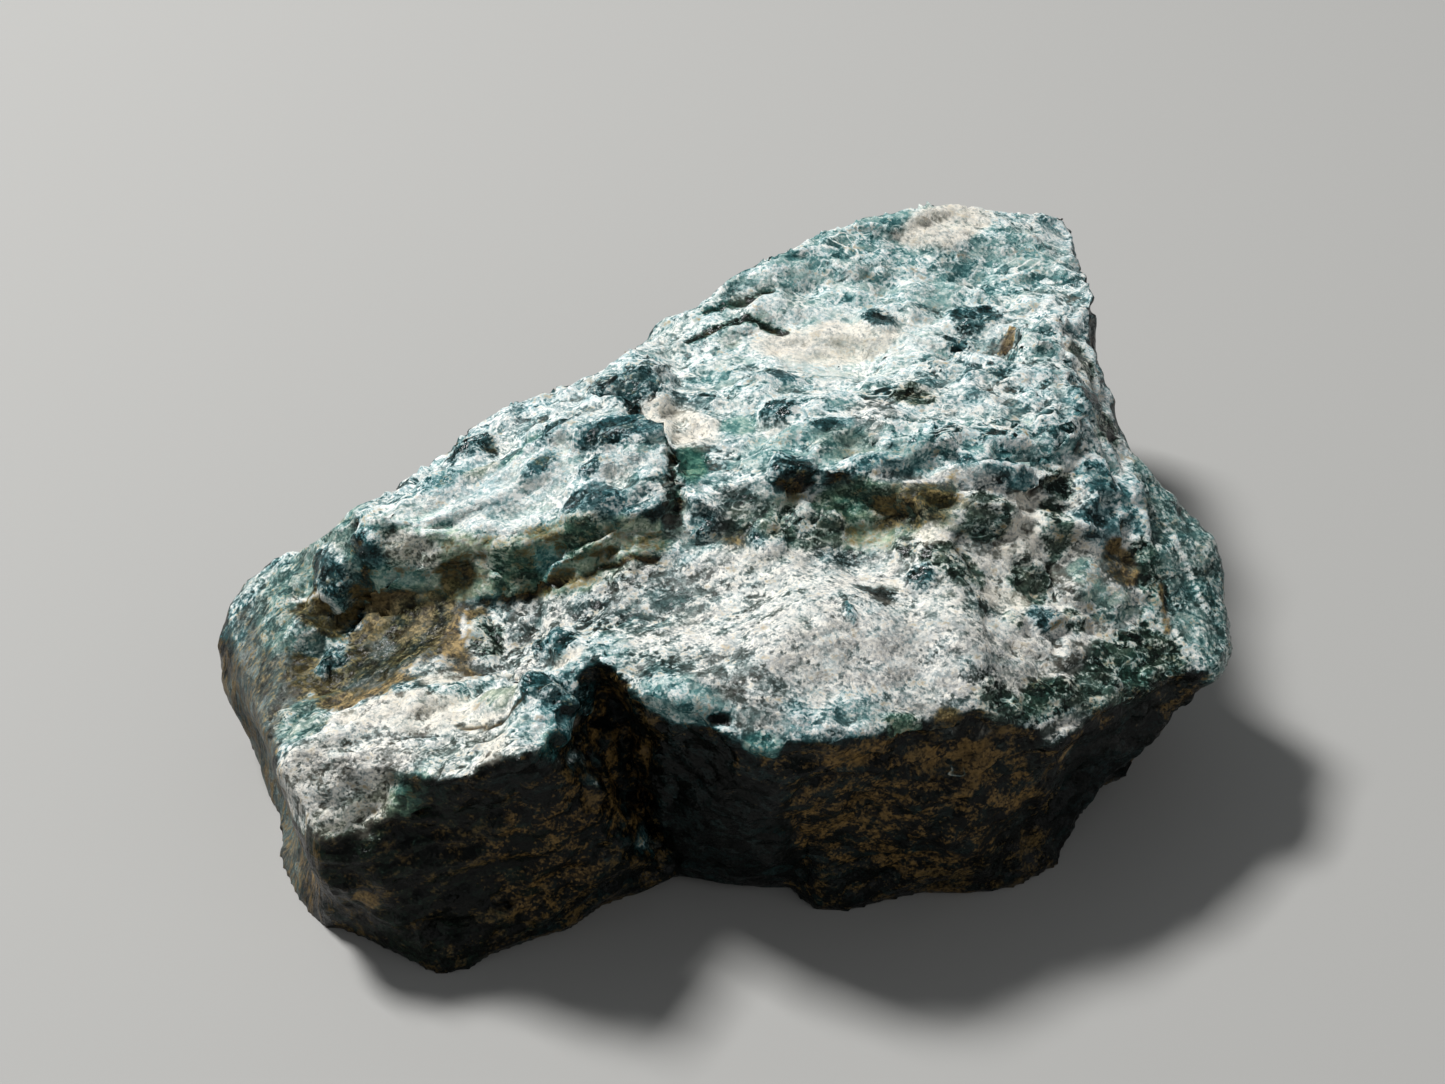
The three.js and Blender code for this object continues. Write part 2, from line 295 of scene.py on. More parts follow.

# %% [markdown]
# ## Finishes by place
#
# Places are where the eye knows one stone from another, so they are written down one by one. A finish is a
# recipe. Frost is how much of the mineral is crushed to white grains. Powder is cream dust that lies on
# top. Stain is an iron film, which ochre takes from olive brown to orange. Tone runs from near-black to
# pale, blue says how far it is teal rather than grey, and green turns it towards bottle green. Gloss is how
# smooth the bare mineral is. Lumpy is how much the small facets and healed cracks show, least in clean
# glass. Raised, in mm, says how far a lump stands out, or how deep a pit goes. What a recipe leaves out
# stays as the rules below make it.

# %% Finishes
FINISHES = {
    "sugar": dict(frost=0.84, powder=0.10, tone=0.42, blue=0.2, gloss=0.0),
    "grey sugar": dict(frost=0.37, powder=0.06, tone=0.36, blue=0.25, gloss=0.3),
    "dark sugar": dict(frost=0.16, tone=0.27, blue=0.35, gloss=0.5, lumpy=0.6),
    "pepper": dict(frost=0.58, powder=0.2, tone=0.28, blue=0.12, gloss=0.3, lumpy=0.6),
    "cream": dict(frost=0.80, powder=0.60, blue=0.2, gloss=0.0, lumpy=0.2),
    "milk": dict(frost=0.6, powder=0.05, tone=0.72, blue=0.8, gloss=0.5),
    "ice": dict(frost=0.24, tone=0.56, blue=0.9, green=0.25, gloss=0.8),
    # this glass's many white facets stand in for glints: painted highlights
    "glass with painted glints": dict(frost=0.12, tone=0.28, blue=0.8, gloss=1.0, lumpy=1.2, raised=0.2),
    "flake": dict(frost=0.30, stain=0.1, ochre=0.6, tone=0.60, blue=0.2, green=0.5, gloss=0.8, lumpy=0.1,
                  raised=0.14),
    "teal glass": dict(frost=0.12, tone=0.44, blue=1.0, green=0.15, gloss=1.0, lumpy=0.2, raised=0.2),
    "rim glass": dict(frost=0.2, stain=0.05, tone=0.40, blue=0.65, green=0.35, gloss=1.0, lumpy=0.35,
                      raised=0.2),
    # turquoise and emerald: the mineral's clear colour, brightened as painted glow where light shines
    # through thin parts
    "turquoise with painted glow": dict(frost=0.06, tone=0.56, blue=1.2, green=0.4, gloss=0.9, lumpy=0.2),
    "emerald with painted glow": dict(frost=-0.3, tone=0.44, blue=1.2, green=0.7, gloss=1.0, lumpy=0.0),
    "dark lens": dict(frost=0.06, tone=0.34, blue=0.8, green=0.1, gloss=1.0, lumpy=0.2, raised=0.18),
    "dark glass": dict(frost=0.06, stain=0.05, tone=0.26, blue=0.75, green=0.15, gloss=1.0, lumpy=0.25,
                       raised=0.22),
    "dark green": dict(frost=0.14, stain=0.1, tone=0.25, blue=0.25, green=0.6, gloss=0.7, lumpy=0.55,
                       raised=0.1),
    "bottle glass": dict(frost=0.04, stain=0.1, tone=0.2, blue=0.5, green=0.7, gloss=0.9, lumpy=0.6),
    "green glass": dict(frost=0.14, stain=0.15, tone=0.4, blue=0.6, green=0.8, gloss=0.8, lumpy=0.2,
                        raised=0.15),
    "black": dict(frost=-0.5, tone=0.0, green=0.2, gloss=0.5, lumpy=0.0, raised=-0.2),
    "ochre": dict(frost=0.38, powder=0.05, stain=1.0, ochre=0.8, tone=0.3, blue=0.0, gloss=0.0, lumpy=0.2),
    "brown": dict(frost=0.16, stain=0.68, ochre=0.5, tone=0.34, blue=0.0, gloss=0.1, lumpy=0.2),
    "olive": dict(frost=0.16, stain=0.95, ochre=0.35, tone=0.36, blue=0.1, gloss=0.3, lumpy=0.2),
    # olive mineral made lighter, as painted light on the riser and the scoop, which the key light leaves in
    # shade
    "olive glass with painted light": dict(frost=0.42, stain=0.5, ochre=0.2, tone=0.68, blue=0.4, green=0.7, gloss=0.6,
                        lumpy=0.3),
    "dark olive": dict(frost=0.1, stain=0.7, ochre=0.2, tone=0.24, blue=0.2, gloss=0.5, lumpy=0.3),
    "tan": dict(frost=0.32, powder=0.05, stain=1.1, ochre=0.5, tone=0.46, blue=0.0, gloss=0.0, lumpy=0.2),
    # the wall finishes: a near-black tone that is painted shade, with real iron stains; the black one is
    # painted shade alone
    "mottled wall": dict(frost=-0.8, stain=0.36, ochre=0.8, tone=0.02, blue=0.4, gloss=0.2),
    "painted shade wall": dict(frost=-0.9, stain=-0.6, ochre=0.6, tone=0.0, blue=0.6, gloss=0.4),
    "rusty wall": dict(frost=-0.6, stain=0.7, ochre=0.9, tone=0.1, blue=0.2, gloss=0.2),
    "green wall": dict(frost=-0.75, stain=0.12, ochre=0.35, tone=0.06, blue=0.3, green=0.8, gloss=0.4),
    "striated": dict(frost=0.18, stain=0.15, tone=0.52, blue=0.6, green=0.4, gloss=0.6, lumpy=0.4),
    "fibre": dict(frost=0.05, powder=0.06, stain=0.42, ochre=0.4, tone=0.38, blue=0.2, gloss=0.1, lumpy=0.0),
    "brown crack": dict(frost=0.0, stain=1.0, ochre=0.6, tone=0.15, raised=-0.12),
    "dark crack": dict(frost=-0.2, stain=0.1, tone=0.12, green=0.8, raised=-0.14),
}
NOTHING_ON_TOP = {"powder": 0.0, "stain": 0.0}
FINISHES = {name: NOTHING_ON_TOP | recipe for name, recipe in FINISHES.items()}
FINISHES["white line"] = dict(frost=1.0, stain=0.0, tone=0.6, raised=0.04)  # it keeps the powder around it
print(len(FINISHES), "finishes")

# %% Places
PLACES = [  # a finish, its middle and half sizes in mm, and where it has them its turn and its softness
    # the walls, from the left end round the front to the right; their near-black tones are painted shade
    # over real stains
    ("fibre", (-11.4, -6.5, 2.5), (1.9, 5.2, 4.0), -12),
    ("green wall", (-7.0, -10.8, 2.6), (3.6, 1.2, 3.0)),
    ("mottled wall", (-4.0, -10.2, 3.4), (1.5, 1.1, 2.4)),
    ("mottled wall", (-2.6, -8.2, 3.8), (1.0, 1.6, 2.6)),
    # painted shade: black in the deep recess here, and under the right tip's overhang
    ("painted shade wall", (0.2, -9.2, 2.8), (2.0, 1.5, 3.8)),
    ("mottled wall", (5.2, -9.6, 3.6), (3.6, 1.4, 2.4)),
    ("painted shade wall", (9.8, -7.0, 2.4), (1.8, 1.6, 2.4)),
    ("rusty wall", (3.4, -10.1, 6.2), (1.0, 0.7, 0.35)),
    ("rusty wall", (5.7, -9.2, 5.4), (1.0, 0.7, 0.35)),
    ("rusty wall", (7.3, -8.6, 3.8), (0.35, 0.7, 1.0)),
    ("ochre", (-10.1, -9.4, 2.6), (0.35, 0.4, 1.6)),
    ("ochre", (-8.4, -11.0, 2.3), (0.35, 0.4, 0.3)),
    ("ochre", (8.4, -7.8, 4.0), (0.35, 0.4, 0.3)),
    # the left lobe
    ("sugar", (-6.8, -8.9, 5.7), (3.0, 1.1, 1.2), -6),
    ("cream", (-6.7, -8.4, 5.9), (3.0, 0.6, 0.9), -8),
    ("grey sugar", (-6.4, -10.2, 6.0), (3.3, 1.1, 1.1), -10),
    ("pepper", (-8.9, -9.7, 5.0), (1.9, 1.2, 1.5), 15),
    ("milk", (-7.4, -10.6, 5.4), (1.0, 0.5, 0.8)),
    ("striated", (-9.9, -8.0, 5.0), (0.7, 1.2, 0.8), 10),
    ("cream", (-5.2, -10.2, 6.6), (0.4, 0.5, 0.4)),
    ("turquoise with painted glow", (-4.0, -10.0, 6.5), (0.6, 0.6, 0.4)),
    ("teal glass", (-3.8, -9.3, 6.6), (0.5, 0.6, 0.6)),
    ("flake", (-4.95, -8.2, 6.4), (0.9, 0.62, 0.7), 8),
    ("dark glass", (-4.1, -8.6, 6.7), (0.55, 0.5, 0.5), 15),
    ("cream", (-3.9, -7.6, 6.9), (0.8, 0.35, 0.4), 10),
    ("dark glass", (-3.3, -8.2, 6.2), (0.5, 0.5, 0.6)),
    # the hollow behind it
    ("olive", (-9.2, -5.6, 5.4), (1.8, 1.7, 1.0)),
    ("olive", (-7.6, -5.7, 5.8), (2.4, 1.6, 1.0)),
    ("olive", (-10.1, -5.9, 5.0), (0.6, 0.7, 0.6)),
    ("ochre", (-8.5, -7.1, 5.5), (1.7, 0.5, 0.6), 4),
    ("brown", (-8.1, -6.4, 5.6), (1.2, 0.6, 0.6), 20),
    ("ochre", (-6.4, -5.8, 6.1), (0.3, 1.1, 0.8), -15),
    ("ochre", (-6.1, -6.7, 6.0), (0.5, 0.35, 0.5)),
    ("cream", (-6.6, -7.2, 5.9), (0.6, 0.3, 0.4)),
    ("black", (-9.4, -4.7, 5.5), (0.4, 0.45, 0.6)),
    ("milk", (-9.6, -5.0, 5.2), (0.55, 0.13, 0.3)),
    ("dark lens", (-10.2, -4.9, 5.3), (0.7, 0.5, 0.6)),
    ("dark glass", (-9.5, -5.6, 4.9), (0.6, 0.6, 0.6)),
    ("dark glass", (-9.1, -4.3, 5.1), (0.8, 0.5, 0.6)),
    ("dark olive", (-8.6, -5.2, 5.4), (0.8, 0.5, 0.6), 30, 0.8),
    ("dark olive", (-8.2, -6.1, 5.5), (1.3, 0.6, 0.8), 10, 1.0),
    ("grey sugar", (-7.0, -6.7, 5.8), (0.6, 0.3, 0.4), 10, 0.9),
    ("grey sugar", (-4.7, -6.2, 6.4), (1.5, 1.3, 0.9), 10),
    ("dark green", (-5.6, -5.8, 6.2), (0.6, 0.8, 0.6)),
    ("dark lens", (-4.1, -6.6, 6.7), (0.7, 0.4, 0.5), 20),
    ("dark glass", (-3.6, -7.1, 6.9), (0.45, 0.4, 0.5)),
    ("striated", (-10.6, -4.0, 5.4), (1.4, 1.5, 1.2)),
    # the knob
    ("olive glass with painted light", (-6.9, -4.2, 7.0), (2.2, 0.7, 1.1)),
    ("striated", (-9.9, -3.2, 6.4), (1.6, 1.4, 1.5)),
    ("olive", (-9.6, -4.4, 5.9), (1.2, 0.6, 0.9)),
    # this tan patch is painted light, laid where the riser lies in shade
    ("tan", (-8.0, -4.8, 5.9), (1.4, 0.7, 0.9)),
    ("dark glass", (-9.7, -3.7, 6.4), (0.6, 0.7, 0.6), 30),
    ("pepper", (-7.6, -4.2, 7.4), (0.8, 0.5, 0.6)),
    ("dark glass", (-8.6, -3.7, 7.2), (0.5, 0.6, 0.5), 30),
    # on the knob's shaded front this turquoise is painted glow
    ("turquoise with painted glow", (-8.0, -4.4, 6.8), (1.0, 0.6, 0.5), 0, 1.2),
    ("olive", (-6.5, -4.5, 7.0), (0.5, 0.6, 0.6)),
    # the crest on the left, streaked with pale teal
    ("milk", (-5.2, -2.8, 8.4), (3.2, 1.2, 1.0), 22),
    ("dark glass", (-6.2, -1.2, 8.1), (0.85, 0.4, 0.5), 27),
    ("dark lens", (-2.6, -2.0, 9.5), (1.6, 0.45, 0.6), 8),
    ("dark lens", (-4.4, -1.5, 9.0), (0.9, 0.4, 0.6), 15),
    ("dark lens", (-4.3, -2.2, 8.5), (0.8, 0.35, 0.5), 27),
    ("dark lens", (-3.0, -2.75, 8.9), (0.45, 0.3, 0.5), 20),
    ("dark lens", (-3.2, -3.7, 8.7), (0.85, 0.6, 0.6), 22),
    ("turquoise with painted glow", (-4.9, -1.6, 8.5), (0.9, 0.18, 0.6), 35),
    ("flake", (-5.9, -2.1, 8.1), (0.7, 0.2, 0.5), 27),
    ("dark glass", (-2.2, 0.0, 9.3), (1.2, 0.8, 0.9)),
    ("teal glass", (-6.9, -2.4, 8.1), (0.7, 0.35, 0.5), 27),
    # its riser
    ("olive glass with painted light", (-3.6, -4.6, 7.6), (2.6, 0.8, 1.0), 4),
    ("green glass", (-5.0, -4.5, 7.3), (0.6, 0.6, 0.8)),
    ("turquoise with painted glow", (-4.2, -4.6, 7.6), (0.4, 0.4, 0.4)),
    ("green glass", (-3.3, -4.4, 8.0), (0.7, 0.5, 0.5)),
    ("olive glass with painted light", (-2.0, -4.4, 8.1), (0.95, 0.5, 0.6)),
    # this emerald spot is painted glow of light through a thin edge
    ("emerald with painted glow", (-0.65, -2.5, 8.9), (0.45, 0.7, 0.6)),
    # between the crests
    ("cream", (-1.0, -1.0, 9.0), (1.1, 0.75, 0.8), -35, 0.6),
    ("ice", (-0.2, 1.7, 8.6), (0.9, 0.4, 0.6)),
    ("dark lens", (1.4, 0.7, 9.0), (0.8, 0.3, 0.6), 5),
    ("teal glass", (2.6, -1.7, 9.2), (1.1, 0.35, 0.5), 12),
    ("dark lens", (4.6, -2.4, 9.1), (0.7, 0.35, 0.5), 15),
    ("teal glass", (6.2, -2.2, 9.1), (0.9, 0.35, 0.5), 5),
    ("dark glass", (1.5, -0.9, 9.2), (0.55, 0.45, 0.5)),
    ("turquoise with painted glow", (0.5, -1.1, 8.9), (0.5, 0.4, 0.5)),
    ("striated", (1.1, -4.2, 8.2), (0.9, 1.1, 0.8)),
    ("dark glass", (1.2, -4.5, 8.1), (0.45, 0.5, 0.5)),
    ("dark glass", (-0.5, -4.0, 8.3), (0.5, 0.5, 0.5)),
    ("tan", (0.4, -4.1, 8.3), (0.35, 0.9, 0.5), 0, 1.2),
    # the ridge, all glass lumps
    ("ice", (1.6, -2.4, 9.1), (1.6, 0.8, 0.7)),
    ("ice", (4.8, -2.2, 9.1), (1.7, 0.9, 0.7)),
    ("ice", (7.4, -1.8, 9.0), (2.0, 1.0, 0.8)),
    ("ice", (10.0, -1.9, 7.9), (0.9, 0.9, 0.9)),
    ("dark glass", (1.8, -3.0, 9.1), (0.55, 0.4, 0.5)),
    ("striated", (3.1, -2.2, 9.2), (0.9, 0.5, 0.6)),
    ("teal glass", (3.8, -2.8, 9.0), (0.8, 0.28, 0.5), 5),
    ("grey sugar", (3.9, -1.1, 9.5), (0.7, 0.8, 0.6)),
    ("dark green", (5.0, -0.3, 9.3), (0.7, 0.4, 0.5)),
    # painted glints on the ridge's glass lumps
    ("glass with painted glints", (5.7, -1.9, 9.4), (0.6, 0.6, 0.6)),
    ("glass with painted glints", (7.0, -1.7, 9.3), (0.9, 0.6, 0.6), 10),
    ("glass with painted glints", (8.5, -1.3, 9.1), (0.7, 0.6, 0.6), 10),
    ("teal glass", (6.9, -2.8, 8.7), (1.5, 0.35, 0.5), -8),
    ("teal glass", (9.4, -2.1, 8.1), (0.65, 0.7, 0.6), -20),
    ("turquoise with painted glow", (10.5, -2.3, 6.9), (0.45, 0.8, 0.7), 20),
    ("dark glass", (9.3, 0.2, 8.7), (0.5, 0.5, 0.5)),
    ("dark green", (9.9, -0.1, 8.1), (0.5, 0.8, 0.6)),
    # the scoop in front of it
    ("olive glass with painted light", (3.6, -3.9, 8.3), (3.0, 0.8, 0.9), 3),
    ("green glass", (3.2, -3.5, 8.4), (1.1, 0.5, 0.7)),
    ("brown", (5.0, -3.7, 8.5), (1.1, 0.55, 0.7), 5, 1.0),
    ("dark green", (2.4, -4.0, 8.0), (0.8, 0.5, 0.6)),
    # the front slope
    ("sugar", (2.0, -7.0, 7.6), (4.2, 2.4, 1.6)),
    ("grey sugar", (-1.7, -5.7, 7.4), (1.5, 1.1, 0.9)),
    ("grey sugar", (-0.2, -8.8, 7.3), (2.0, 1.1, 0.8), -18),
    ("ice", (-0.8, -9.2, 7.1), (1.2, 0.6, 0.6), -25),
    ("turquoise with painted glow", (1.0, -10.3, 6.6), (0.45, 0.5, 0.35)),
    ("black", (0.0, -9.7, 7.0), (0.3, 0.15, 0.2)),
    ("teal glass", (3.1, -7.1, 7.9), (0.13, 0.36, 0.4), 15),
    ("cream", (4.1, -6.0, 7.6), (0.45, 0.5, 0.4)),
    # the right, dark clumps with cream between them
    ("pepper", (8.2, -5.0, 7.2), (2.7, 2.4, 1.8)),
    ("sugar", (8.4, -5.9, 6.6), (1.4, 0.4, 0.8), 10),
    ("sugar", (6.6, -6.4, 7.2), (0.9, 0.7, 0.8)),
    ("cream", (7.4, -3.9, 7.9), (0.65, 1.3, 0.8)),
    ("dark green", (6.5, -3.9, 8.4), (0.75, 0.65, 0.7)),
    ("dark green", (8.3, -3.5, 7.7), (0.45, 1.0, 0.8)),
    ("dark lens", (9.5, -3.1, 7.4), (0.6, 0.75, 0.7)),
    ("dark green", (5.8, -5.1, 7.8), (1.0, 0.6, 0.6), -15),
    ("dark green", (7.6, -5.0, 7.1), (0.6, 0.7, 0.6)),
    ("striated", (9.1, -4.4, 6.7), (0.4, 0.4, 0.5)),
    ("dark glass", (4.9, -5.6, 7.7), (0.35, 0.4, 0.4)),
    ("dark green", (8.5, -2.5, 8.1), (0.6, 0.5, 0.6)),
    ("brown", (9.8, -3.6, 6.9), (0.3, 0.4, 0.5)),
    ("brown", (9.9, -4.1, 6.5), (0.35, 0.25, 0.4)),
    # the rim at the far right, dark green where it turns down
    ("bottle glass", (10.9, -4.3, 5.8), (0.4, 1.3, 0.9)),
    ("bottle glass", (10.0, -6.3, 5.5), (1.7, 0.9, 0.9), 25),
    ("bottle glass", (11.2, -5.0, 5.3), (0.8, 1.2, 0.9)),
    ("striated", (9.6, -4.9, 6.2), (0.9, 0.5, 0.6), 20),
    ("dark lens", (7.9, -5.8, 6.6), (0.5, 0.3, 0.4), 20),
    ("rim glass", (11.5, -2.6, 5.8), (1.5, 3.9, 2.6), 22),
    ("teal glass", (10.3, -2.3, 7.1), (0.5, 1.0, 0.8), 22),
    ("bottle glass", (10.7, -3.7, 6.2), (0.45, 0.9, 0.8), 22),
    ("ochre", (10.2, -3.8, 6.5), (0.25, 0.5, 0.4), 10),
    # dark specks gathered in clouds around the slope
    ("dark sugar", (-3.0, -5.9, 6.9), (0.55, 0.5, 0.5), 0, 0.8),
    ("dark sugar", (-2.1, -6.6, 7.2), (0.9, 0.5, 0.5), -15, 0.8),
    ("dark sugar", (-1.1, -5.9, 7.3), (0.5, 0.4, 0.5), 0, 0.8),
    ("dark sugar", (-1.6, -8.2, 7.3), (0.8, 0.4, 0.5), -30, 0.9),
    ("dark sugar", (0.5, -3.9, 8.4), (0.9, 0.6, 0.6), 0, 0.8),
    ("dark sugar", (1.9, -4.1, 8.2), (0.6, 0.6, 0.6), 0, 0.8),
    ("dark sugar", (2.9, -4.6, 7.8), (0.8, 0.4, 0.5), 0, 0.8),
    ("dark sugar", (4.0, -6.1, 7.7), (0.6, 0.3, 0.4), 0, 0.9),
    ("dark sugar", (6.3, -6.0, 7.2), (0.8, 0.35, 0.5), 10, 0.9),
    # the glassy edge above the right wall
    ("dark green", (6.7, -8.5, 6.4), (1.0, 0.5, 0.5), -20),
    ("bottle glass", (7.9, -7.8, 6.0), (0.8, 0.45, 0.5), 25),
    ("dark green", (9.0, -7.3, 5.7), (0.9, 0.5, 0.5), 25),
    ("bottle glass", (7.8, -8.2, 6.1), (1.1, 0.5, 0.5), 20),
    ("green glass", (4.4, -9.5, 6.6), (0.8, 0.3, 0.35)),
    ("brown", (5.4, -9.2, 6.5), (0.35, 0.4, 0.4)),
    # small clumps behind it, laid over the larger ones
    ("cream", (6.9, -5.6, 7.0), (0.6, 0.35, 0.5), 15),
    ("cream", (5.2, -4.4, 8.1), (0.5, 0.3, 0.5)),
    ("dark green", (7.1, -6.1, 6.8), (0.35, 0.3, 0.4)),
    ("dark green", (4.6, -4.6, 8.0), (0.4, 0.35, 0.4)),
    ("dark green", (8.7, -5.6, 6.4), (0.4, 0.45, 0.4)),
    # the back
    ("milk", (3.0, 3.3, 8.6), (3.2, 1.5, 1.4), 8),
    ("cream", (3.0, 3.2, 8.6), (2.0, 0.7, 1.0), 8),
    ("ice", (5.5, 6.6, 8.9), (4.2, 2.0, 1.4), 12),
    ("cream", (6.2, 7.8, 8.9), (1.6, 0.7, 0.9), 30),
    ("dark glass", (4.3, 4.0, 8.5), (0.5, 0.5, 0.6)),
    ("dark glass", (6.9, 4.4, 8.3), (0.8, 0.6, 0.7), 20),
    ("dark glass", (6.2, 3.2, 8.3), (0.6, 0.4, 0.7)),
    ("dark green", (9.4, 2.6, 8.1), (0.6, 0.8, 0.6)),
    ("ochre", (7.8, 3.1, 8.4), (0.25, 0.5, 0.4)),
]
SEAMS = [  # a finish, the half width in mm, and the points of the line
    ("brown crack", 0.12, (-6.2, -8.9, 6.1), (-5.2, -9.1, 6.4), (-4.2, -8.9, 6.7)),
    ("white line", 0.13, (-6.0, -8.6, 6.1), (-5.8, -7.8, 6.1), (-5.0, -7.5, 6.2), (-4.1, -7.9, 6.6)),
    ("white line", 0.20, (3.3, -7.2, 7.8), (3.5, -7.8, 7.5), (4.3, -8.0, 7.0), (5.2, -8.2, 6.9),
     (5.7, -8.5, 6.8)),
    ("brown crack", 0.14, (-5.3, -4.9, 6.6), (-4.2, -4.9, 7.0), (-2.9, -4.8, 7.6), (-1.4, -4.8, 7.9)),
    ("dark olive", 0.40, (-9.4, -6.4, 5.1), (-8.6, -5.8, 5.4), (-8.0, -5.0, 5.6), (-7.6, -4.6, 5.9)),
    ("dark olive", 0.25, (-7.3, -6.0, 5.8), (-6.9, -5.2, 6.0), (-6.9, -4.7, 6.4)),
    ("white line", 0.10, (-6.3, -4.5, 7.0), (-6.2, -5.0, 6.4), (-6.3, -5.9, 6.1)),
    ("white line", 0.07, (-10.9, -3.9, 5.7), (-9.6, -4.2, 5.9), (-8.8, -4.4, 6.0), (-7.8, -4.6, 6.1)),
    ("dark crack", 0.16, (-1.15, -2.2, 9.2), (-1.1, -3.3, 8.8), (-1.2, -4.6, 8.2)),
    # these two white lines along the ridge's lip are painted highlights on its lit edge
    ("white line", 0.07, (2.2, -3.2, 9.0), (4.2, -3.3, 9.1), (6.0, -3.1, 8.9), (7.2, -2.8, 8.7),
     (8.6, -2.4, 8.5)),
    ("white line", 0.12, (8.7, -1.9, 8.6), (9.6, -1.6, 8.3), (10.2, -1.8, 7.6), (10.6, -2.9, 6.7)),
    ("dark crack", 0.2, (-0.8, 3.2, 8.7), (0.6, 3.9, 8.8), (1.8, 3.6, 8.7)),
    ("dark crack", 0.18, (-0.4, 4.3, 8.9), (1.4, 4.8, 9.0)),
    ("dark crack", 0.10, (8.1, -4.2, 7.2), (8.3, -5.2, 6.9)),
    ("ochre", 0.12, (11.0, -3.8, 5.9), (11.1, -5.0, 5.2)),
    # painted highlight along the rim's outer edge
    ("white line", 0.05, (10.9, -1.2, 7.2), (11.6, -2.8, 6.2), (12.2, -4.2, 5.2)),
    ("white line", 0.10, (-7.8, -3.4, 8.0), (-6.2, -2.6, 8.3), (-4.4, -1.6, 8.7)),
    ("white line", 0.10, (-4.2, -3.6, 8.4), (-2.6, -3.0, 8.9), (-1.2, -2.4, 9.3)),
]
here_is = [(finish, patch(*where)) for finish, *where in PLACES]
here_is += [(finish, seam(*where)) for finish, *where in SEAMS]
print(len(PLACES), "places and", len(SEAMS), "seams")

# %% [markdown]
# ## The broken surface
#
# Grandidierite splits along cleavage planes, so its broken surface is a patchwork of small flat faces that
# lie one way, each with its own tilt and level. The points are sorted into long cells that follow the
# cleavage, and each cell's points are pressed towards their common plane. This is done three times, for
# large, middling and small faces. A point is sorted by where it is plus a step along its normal, so that
# the two sides of a ledge never share a face and the ledge keeps its edge.

# %% Cleavage faces
CLEAVAGE = {"left": 27, "middle": -4, "rim": -66}
LEFT_ENDS = -1.2
LONGER_ON_THE_LEFT = (1.4, 0.8, 0.9)
SORTING_STEP = 1.6
WANDER = 0.25
DEEPEST_PRESS = 0.35
AGREEMENT = (0.7, 0.95)  # how far a cell's normals must agree before it is pressed, so thin edges don't fold

side = np.where(x < LEFT_ENDS, "left", np.where(rim > 0.5, "rim", "middle"))


def split(size, seed):
    """Sorts the points into cells. Gives each point its cell's number and its depth in from the border."""
    owner = np.zeros((len(points), 4), dtype=np.int64)
    inner = np.zeros(len(points))
    start = points + SORTING_STEP * normals
    swirl = np.stack([smooth_noise(start * 0.8, seed + k) for k in range(3)], axis=1)
    start = start + WANDER * np.array(size) * swirl
    for k, (name, degrees) in enumerate(CLEAVAGE.items()):
        here = side == name
        stretched = np.array(size) * LONGER_ON_THE_LEFT if name == "left" else size
        owner[here, :3], inner[here] = cells(turned(start[here], degrees, stretched), seed)
        owner[here, 3] = k
    _, cell = np.unique(owner, axis=0, return_inverse=True)
    return cell.ravel(), inner


def press(rows, cell, strength, lean, lift, seed):
    """Moves each cell's points towards their common plane, after tilting and raising that plane a little."""
    chance = np.random.default_rng(seed)
    count = np.bincount(cell)
    middle = np.stack([np.bincount(cell, v) / count for v in rows.T], axis=1)
    facing = np.stack([np.bincount(cell, v) / count for v in normals.T], axis=1)
    agree = ease(np.linalg.norm(facing, axis=1), *AGREEMENT)
    facing += lean * chance.normal(size=facing.shape)
    facing /= np.linalg.norm(facing, axis=1, keepdims=True)
    level = lift * chance.uniform(-1, 1, len(count))
    height = ((rows - middle[cell]) * facing[cell]).sum(axis=1) - level[cell]
    height = np.clip(height * strength * agree[cell], -DEEPEST_PRESS, DEEPEST_PRESS)
    return rows - height[:, None] * facing[cell]


# how much of the pressing a point takes: less on the worn slope, the grooved end and the rim
calm = 1 - np.maximum.reduce([0.9 * slope, 0.9 * end_face, 0.4 * recess, 0.8 * dell, 0.6 * rim, blunt])
off_floor = ease(z, 0.05, 0.9)
SPLITS = {  # size in mm, seed, least strength, what calm adds to it, lean, lift in mm, seed of lean and lift
    "block": ((3.2, 1.5, 1.2), 303, 0.0, 0.5, 0.11, 0.12, 1),
    "chip": ((1.4, 0.75, 0.6), 101, 0.0, 0.9, 0.20, 0.12, 2),
    "sliver": ((0.6, 0.36, 0.3), 202, 0.15, 0.4, 0.24, 0.04, 3),
}
cell_of, inner_of = {}, {}
moved = points
for name, (size, seed, least, more, lean, lift, lean_seed) in SPLITS.items():
    cell_of[name], inner_of[name] = split(size, seed)
    moved = press(moved, cell_of[name], (least + more * calm) * off_floor, lean, lift, lean_seed)
print({name: int(cell.max()) + 1 for name, cell in cell_of.items()})

# %% [markdown]
# ## Grooves and grit
#
# The left end is finely grooved from top to bottom, and the right rim along its edge, because there the
# stone broke along its fibres. Everything also has a little roll and grit.

